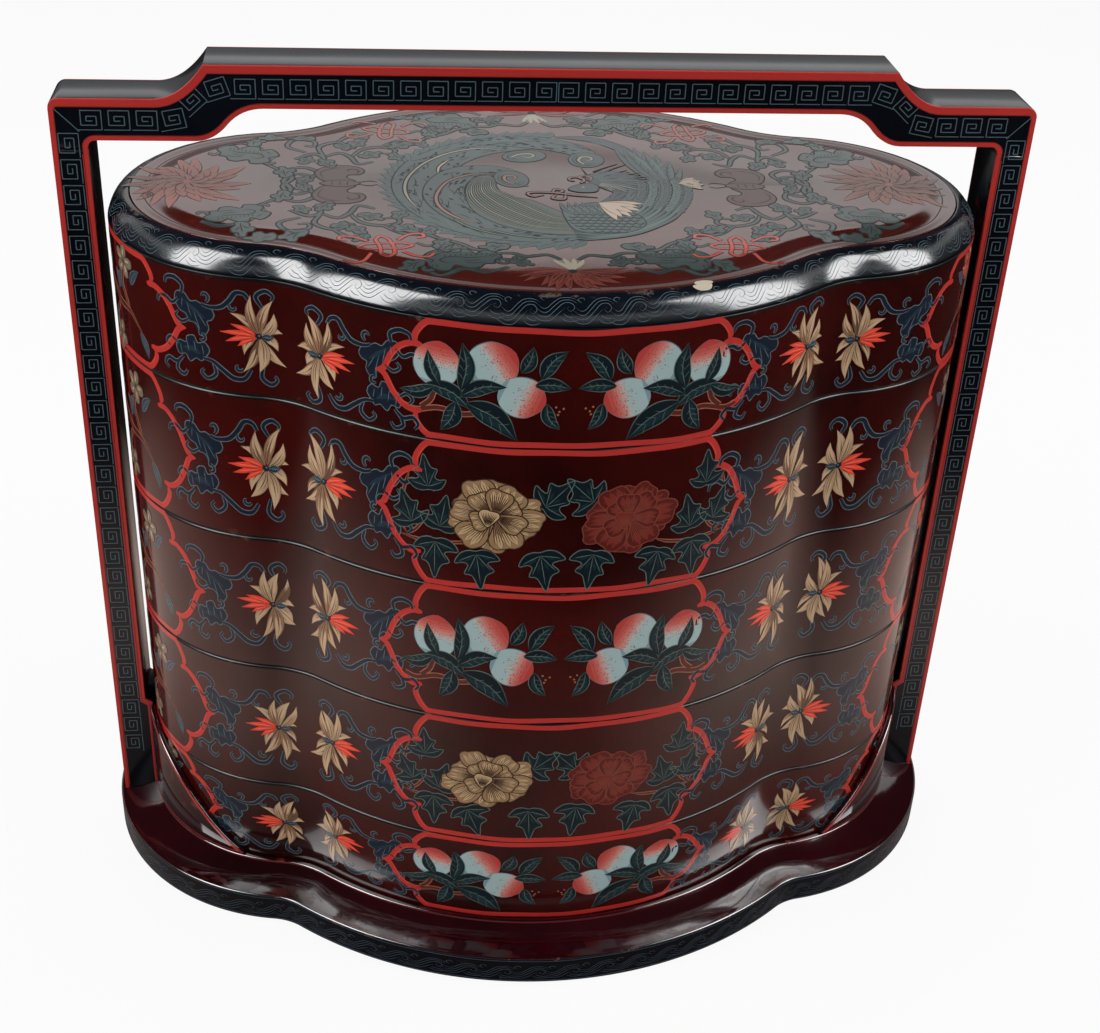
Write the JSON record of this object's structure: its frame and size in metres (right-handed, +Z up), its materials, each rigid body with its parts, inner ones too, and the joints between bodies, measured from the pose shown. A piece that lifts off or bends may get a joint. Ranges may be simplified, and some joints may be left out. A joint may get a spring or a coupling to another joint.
{
  "type": "stacking wedding box",
  "caption": "Lobed lacquered wooden stacking box: nested trays under a deep round-shouldered lid, standing in a coved base with posts and a carrying bar over the top.",
  "frame": {"origin": "middle of the base's underside, on the table", "axes": "+X along the carrying bar, +Y from the front of the box to its back, +Z up"},
  "size_m": [0.507, 0.344, 0.4724],
  "materials": {
    "black_lacquer": "glossy black lacquer with fine painted scrollwork",
    "wall_lacquer": "glossy dark red-brown lacquer, painted",
    "flange_lacquer": "glossy dark maroon lacquer",
    "lid_lacquer": "satin red-brown lacquer, painted",
    "inner_lacquer": "plain dark lacquer"
  },
  "bodies": {
    "base": {"base_hoop": "black_lacquer", "base_flange": "flange_lacquer", "base_floor": "inner_lacquer", "left_post": "black_lacquer", "right_post": "black_lacquer", "carrying_bar": "black_lacquer", "fence_left_front": "flange_lacquer", "fence_left_back": "flange_lacquer", "fence_right_front": "flange_lacquer", "fence_right_back": "flange_lacquer"},
    "tray_4": {"tray_4_wall": "wall_lacquer", "tray_4_board": "inner_lacquer", "tray_4_tongue": "black_lacquer"},
    "tray_3": {"tray_3_wall": "wall_lacquer", "tray_3_board": "inner_lacquer", "tray_3_tongue": "black_lacquer"},
    "tray_2": {"tray_2_wall": "wall_lacquer", "tray_2_board": "inner_lacquer", "tray_2_tongue": "black_lacquer"},
    "tray_1": {"tray_1_wall": "wall_lacquer", "tray_1_board": "inner_lacquer", "tray_1_tongue": "black_lacquer"},
    "lid": {"lid_skirt": "wall_lacquer", "lid_shoulder": "black_lacquer", "lid_board": "lid_lacquer"}
  },
  "joints": [
    {"name": "tray_4_lift", "type": "slide", "parent": "base", "child": "tray_4", "axis": [0, 0, 1], "range_m": [0, 0.003]},
    {"name": "tray_3_lift", "type": "slide", "parent": "tray_4", "child": "tray_3", "axis": [0, 0, 1], "range_m": [0, 0.003]},
    {"name": "tray_2_lift", "type": "slide", "parent": "tray_3", "child": "tray_2", "axis": [0, 0, 1], "range_m": [0, 0.003]},
    {"name": "tray_1_lift", "type": "slide", "parent": "tray_2", "child": "tray_1", "axis": [0, 0, 1], "range_m": [0, 0.003]},
    {"name": "lid_lift", "type": "slide", "parent": "tray_1", "child": "lid", "axis": [0, 0, 1], "range_m": [0, 0.003]}
  ]
}
